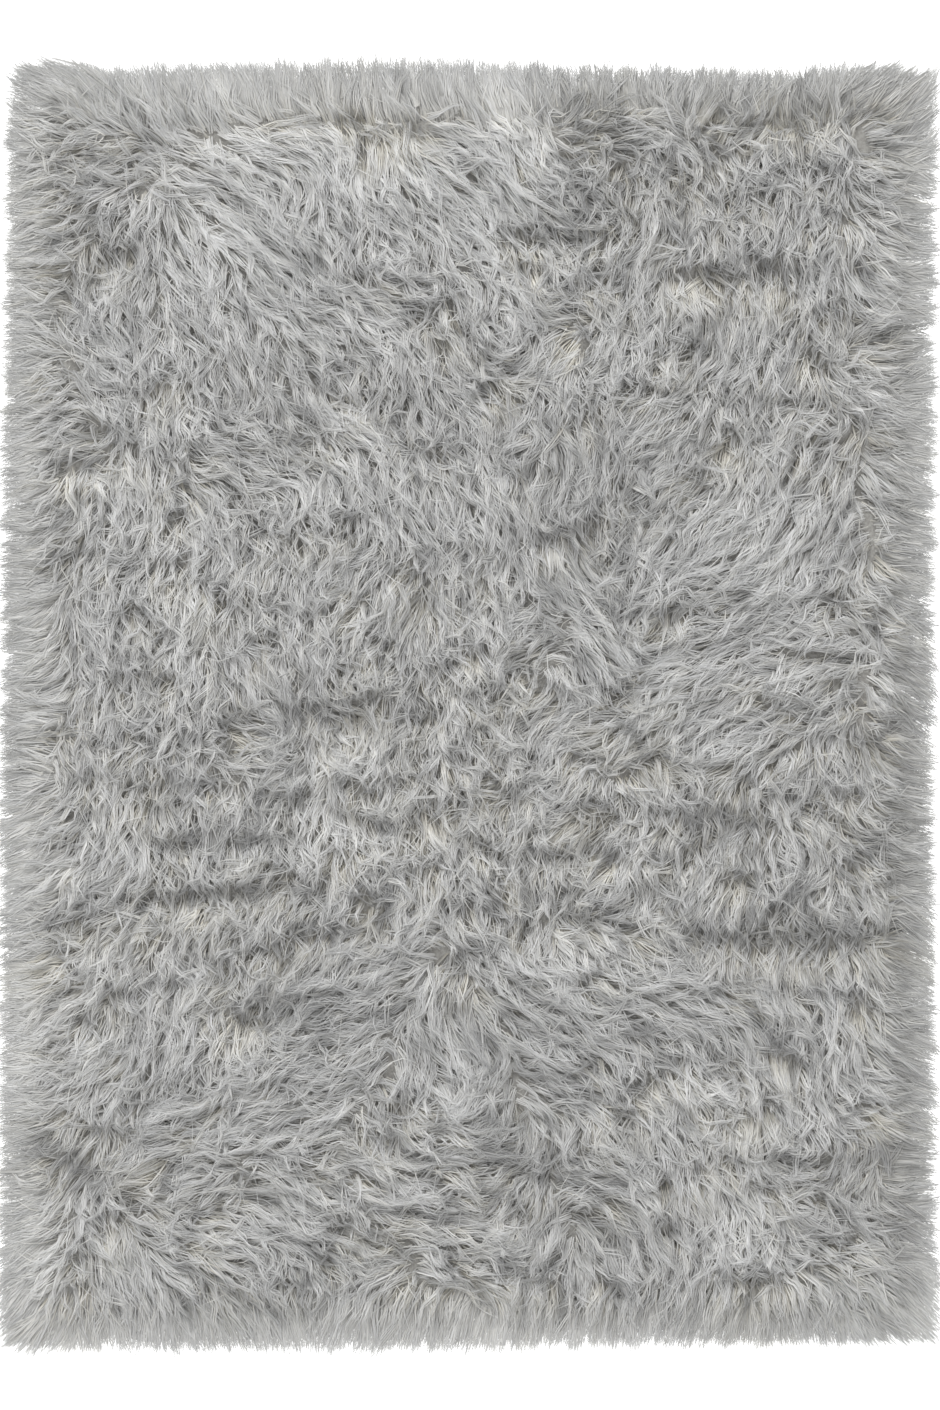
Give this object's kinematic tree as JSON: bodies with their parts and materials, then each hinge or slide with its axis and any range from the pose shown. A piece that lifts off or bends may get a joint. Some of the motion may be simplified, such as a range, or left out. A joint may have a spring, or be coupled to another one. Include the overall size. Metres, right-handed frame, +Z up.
{
  "type": "shag rug",
  "caption": "Rectangular long-pile shag rug, lying flat, with an uneven lumpy pile and a ragged rim of loose locks.",
  "frame": {"origin": "on the floor under the middle of the rug", "axes": "+X across the rug to its right, +Y along its length to its far end, +Z up out of the pile"},
  "size_m": [1.3462, 1.849, 0.0475],
  "materials": {
    "fur": "light grey long-pile faux fur with a soft sheen, a little warmer at the rim"
  },
  "bodies": {
    "root": {"shag_pile": "fur"}
  },
  "joints": []
}
